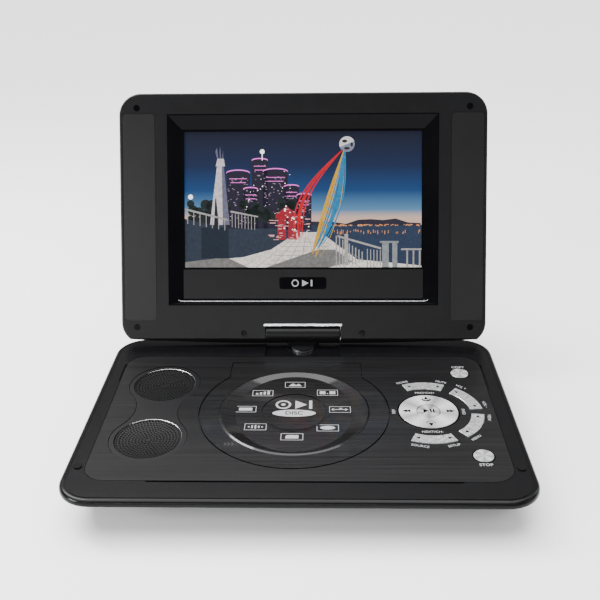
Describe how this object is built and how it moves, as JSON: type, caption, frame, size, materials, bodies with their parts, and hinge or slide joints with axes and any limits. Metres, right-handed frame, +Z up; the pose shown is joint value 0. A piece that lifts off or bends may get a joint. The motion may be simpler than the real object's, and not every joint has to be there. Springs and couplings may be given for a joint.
{
  "type": "portable disc player",
  "caption": "Battery-powered portable video disc player: a slim base with disc well, stereo speakers and keys under a wide display that folds and swivels on one centre hinge.",
  "frame": {"origin": "centre of the base's plan outline, on the table", "axes": "+X to the viewer's right, +Y from the front edge to the hinge, +Z up"},
  "size_m": [0.3, 0.2789, 0.2157],
  "materials": {
    "board_green": "solder resist",
    "brass": "plain",
    "case_black": "fine satin texture",
    "case_under": "fine matt texture",
    "cell_wrap": "shrink wrap",
    "cone_paper": "paper",
    "deck_brushed": "brushed, half gloss",
    "gloss_black": "high gloss",
    "grille_black": "satin",
    "inner_plastic": "matt",
    "key_silver": "silver lacquer",
    "key_spun": "silver lacquer, spun",
    "lens_glass": "coated",
    "light_plastic": "matt",
    "rubber_black": "matt",
    "screen_glass": "anti-glare film",
    "side_ribbed": "ribbed",
    "silicone_grey": "matt",
    "socket_black": "matt",
    "steel": "plain",
    "trim_bright": "bright"
  },
  "bodies": {
    "base": {"lower_case": "case_under", "upper_case": "case_black", "deck_plate": "deck_brushed", "speaker_trim": "case_black", "speaker_grilles": "grille_black", "speakers": "cone_paper", "disc_well": "inner_plastic", "traverse_frame": "inner_plastic", "traverse_grommets": "rubber_black", "spindle_motor": "steel", "guide_rails": "steel", "sled_motor": "steel", "key_board": "board_green", "key_membrane": "silicone_grey", "main_board": "board_green", "battery_pack": "cell_wrap", "headphone_jack": "socket_black", "av_jack": "socket_black", "dc_jack": "socket_black", "usb_socket": "steel", "card_slot": "steel", "power_switch": "socket_black", "swivel_bush": "brass", "latch_spring": "steel", "rubber_feet": "rubber_black", "deck_bumpers": "rubber_black", "case_screws": "steel"},
    "hinge_turret": {"hinge_barrel": "case_black", "swivel_spindle": "steel", "spindle_nut": "steel", "tilt_bushes": "brass"},
    "lid": {"lid_bezel": "case_black", "lid_back_cover": "case_under", "window_frame": "gloss_black", "lcd_screen": "screen_glass", "lcd_module": "steel", "backlight": "light_plastic", "lcd_board": "board_green", "side_panels": "side_ribbed", "hinge_trim": "trim_bright", "hinge_brackets": "steel", "tilt_axles": "steel", "lid_screws": "inner_plastic"},
    "disc_door": {"disc_door": "deck_brushed", "door_pins": "steel"},
    "door_latch": {"door_latch": "inner_plastic"},
    "disc_hub": {"disc_hub": "inner_plastic"},
    "laser_sled": {"laser_sled": "socket_black", "laser_lens": "lens_glass"},
    "lead_screw": {"lead_screw": "steel"},
    "nav_gimbal": {"nav_gimbal": "light_plastic"},
    "nav_ring": {"nav_ring": "key_spun"},
    "play_key": {"play_key": "key_silver"},
    "key_mode_mute": {"key_mode_mute": "key_silver"},
    "key_volume": {"key_volume": "key_silver"},
    "key_menu": {"key_menu": "key_silver"},
    "key_source_setup": {"key_source_setup": "key_silver"},
    "key_copy": {"key_copy": "key_silver"},
    "key_stop": {"key_stop": "key_silver"},
    "power_knob": {"power_knob": "socket_black"}
  },
  "joints": [
    {"name": "swivel", "type": "hinge", "parent": "base", "child": "hinge_turret", "pos_m": [0, 0.091, 0.027], "axis": [0, 0, 1], "range_deg": [-180, 0]},
    {"name": "tilt", "type": "hinge", "parent": "hinge_turret", "child": "lid", "pos_m": [0, 0.0977, 0.0355], "axis": [-1, 0, 0], "range_deg": [-112.6, 67.4]},
    {"name": "door_lift", "type": "hinge", "parent": "base", "child": "disc_door", "pos_m": [-0.0045, 0.0627, 0.0272], "axis": [-1, 0, 0], "range_deg": [0, 72]},
    {"name": "latch_slide", "type": "slide", "parent": "base", "child": "door_latch", "axis": [0, -1, 0], "range_m": [0, 0.0015], "stiffness_N_per_m": 400, "deforming": ["latch_spring"]},
    {"name": "hub_spin", "type": "hinge", "parent": "base", "child": "disc_hub", "pos_m": [-0.0045, -0.0034, 0.019], "axis": [0, 0, 1], "continuous": true},
    {"name": "sled_travel", "type": "slide", "parent": "base", "child": "laser_sled", "axis": [0, 1, 0], "range_m": [-0.022, 0.0045]},
    {"name": "screw_turn", "type": "hinge", "parent": "base", "child": "lead_screw", "pos_m": [0.02, -0.03, 0.0124], "axis": [0, 1, 0], "range_deg": [-3170, 650]},
    {"name": "nav_rock_up_down", "type": "hinge", "parent": "base", "child": "nav_gimbal", "pos_m": [0.0902, -0.0046, 0.02345], "axis": [1, 0, 0], "range_deg": [-2, 2], "stiffness_Nm_per_rad": 0.4},
    {"name": "nav_rock_left_right", "type": "hinge", "parent": "nav_gimbal", "child": "nav_ring", "pos_m": [0.0902, -0.0046, 0.02345], "axis": [0, 1, 0], "range_deg": [-2, 2], "stiffness_Nm_per_rad": 0.4},
    {"name": "play_key_press", "type": "slide", "parent": "base", "child": "play_key", "axis": [0, 0, -1], "range_m": [0, 0.0005], "stiffness_N_per_m": 2500},
    {"name": "key_mode_mute_rock", "type": "hinge", "parent": "base", "child": "key_mode_mute", "pos_m": [0.0902, 0.0295, 0.0248], "axis": [0, 1, 0], "range_deg": [-2, 2], "stiffness_Nm_per_rad": 0.4},
    {"name": "key_volume_rock", "type": "hinge", "parent": "base", "child": "key_volume", "pos_m": [0.11988, 0.01219, 0.0248], "axis": [0.8704, 0.4924, 0], "range_deg": [-2, 2], "stiffness_Nm_per_rad": 0.4},
    {"name": "key_menu_rock", "type": "hinge", "parent": "base", "child": "key_menu", "pos_m": [0.11988, -0.02139, 0.0248], "axis": [0.8704, -0.4924, 0], "range_deg": [-2, 2], "stiffness_Nm_per_rad": 0.4},
    {"name": "key_source_setup_rock", "type": "hinge", "parent": "base", "child": "key_source_setup", "pos_m": [0.0902, -0.0387, 0.0248], "axis": [0, -1, 0], "range_deg": [-2, 2], "stiffness_Nm_per_rad": 0.4},
    {"name": "key_copy_press", "type": "slide", "parent": "base", "child": "key_copy", "axis": [0, 0, -1], "range_m": [0, 0.0008], "stiffness_N_per_m": 2500},
    {"name": "key_stop_press", "type": "slide", "parent": "base", "child": "key_stop", "axis": [0, 0, -1], "range_m": [0, 0.0008], "stiffness_N_per_m": 2500},
    {"name": "power_slide", "type": "slide", "parent": "base", "child": "power_knob", "axis": [0, 1, 0], "range_m": [0, 0.003]}
  ],
  "couplings": [
    {"joint": "screw_turn", "follows": "sled_travel", "rad_per_m": 2513.3}
  ]
}
